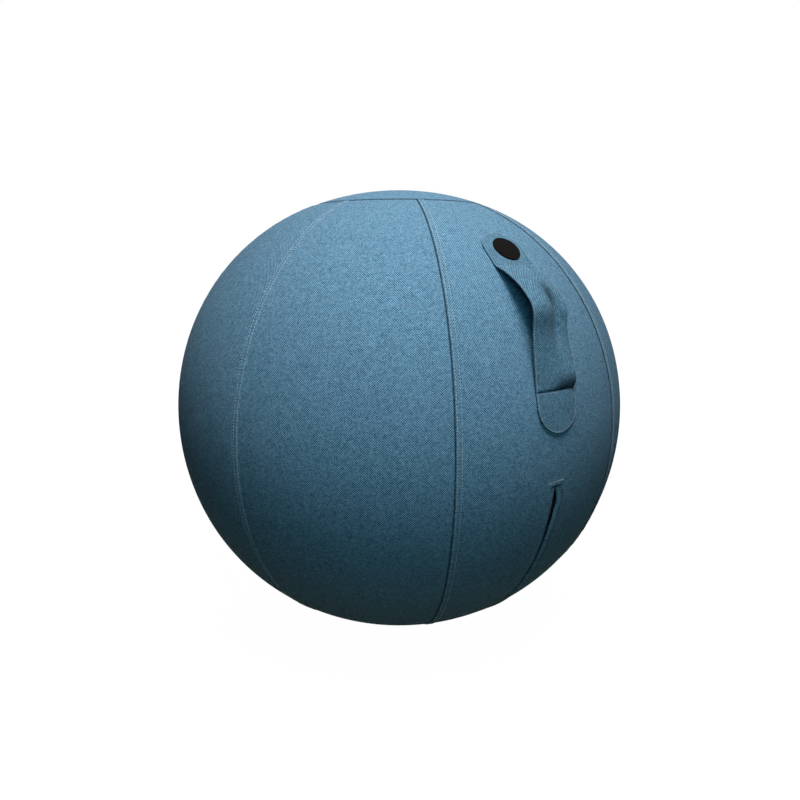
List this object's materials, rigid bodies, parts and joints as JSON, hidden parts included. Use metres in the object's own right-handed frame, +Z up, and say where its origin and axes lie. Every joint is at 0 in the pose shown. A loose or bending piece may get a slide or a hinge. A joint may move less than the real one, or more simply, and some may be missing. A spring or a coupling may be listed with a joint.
{
  "type": "balance ball chair",
  "caption": "Inflated sitting ball in a fabric cover of sewn gores, with a carry loop, a round badge and a concealed zip.",
  "frame": {"origin": "centre of the flat patch on which the ball stands, in the plane of the grip dots' faces", "axes": "+Z up through the middle of the crown panel; -Y is the front, where the carry loop and the zip are; +X to the right as seen from the front"},
  "size_m": [0.6498, 0.6498, 0.6285],
  "materials": {
    "cover_fabric": "woven heather",
    "strap_fabric": "woven heather",
    "lining_fabric": "plain weave",
    "zip_tape": "tape weave",
    "zip_teeth": "moulded",
    "zip_metal": "satin enamel",
    "badge_plastic": "satin",
    "bladder_vinyl": "smooth vinyl",
    "valve_plastic": "moulded",
    "grip_rubber": "matte"
  },
  "bodies": {
    "ball": {"bladder": "bladder_vinyl", "valve_seat": "valve_plastic", "valve_plug": "valve_plastic", "top_cap": "cover_fabric", "base_cap": "cover_fabric", "base_grip_dots": "grip_rubber", "zip_guard": "lining_fabric", "zip_tape_right": "zip_tape", "zip_tape_left": "zip_tape", "zip_teeth_right": "zip_teeth", "zip_teeth_left": "zip_teeth", "zip_top_stop": "zip_metal", "zip_bottom_stop": "zip_metal", "handle_upper_tab": "strap_fabric", "handle_lower_tab": "strap_fabric", "handle_patch_upper": "lining_fabric", "handle_patch_lower": "lining_fabric", "handle_badge": "badge_plastic", "panel_front": "cover_fabric", "panel_front_right": "cover_fabric", "panel_right": "cover_fabric", "panel_back_right": "cover_fabric", "panel_back": "cover_fabric", "panel_back_left": "cover_fabric", "panel_left": "cover_fabric", "panel_front_left": "cover_fabric"},
    "slider": {"zip_slider": "zip_metal"},
    "pull_tab": {"zip_pull": "zip_metal"},
    "carry_loop": {"handle_loop": "strap_fabric", "handle_loop_lining": "lining_fabric"}
  },
  "joints": [
    {"name": "zip_slide", "type": "hinge", "parent": "ball", "child": "slider", "pos_m": [0, -0.01569, 0.30411], "axis": [1, 0, 0], "range_deg": [0, 60]},
    {"name": "pull_swing", "type": "hinge", "parent": "slider", "child": "pull_tab", "pos_m": [0, -0.31997, 0.27713], "axis": [-1, 0, 0], "range_deg": [0, 140]},
    {"name": "loop_lift", "type": "slide", "parent": "ball", "child": "carry_loop", "axis": [0, -0.8616, 0.5075], "range_m": [0, 0.006]}
  ]
}
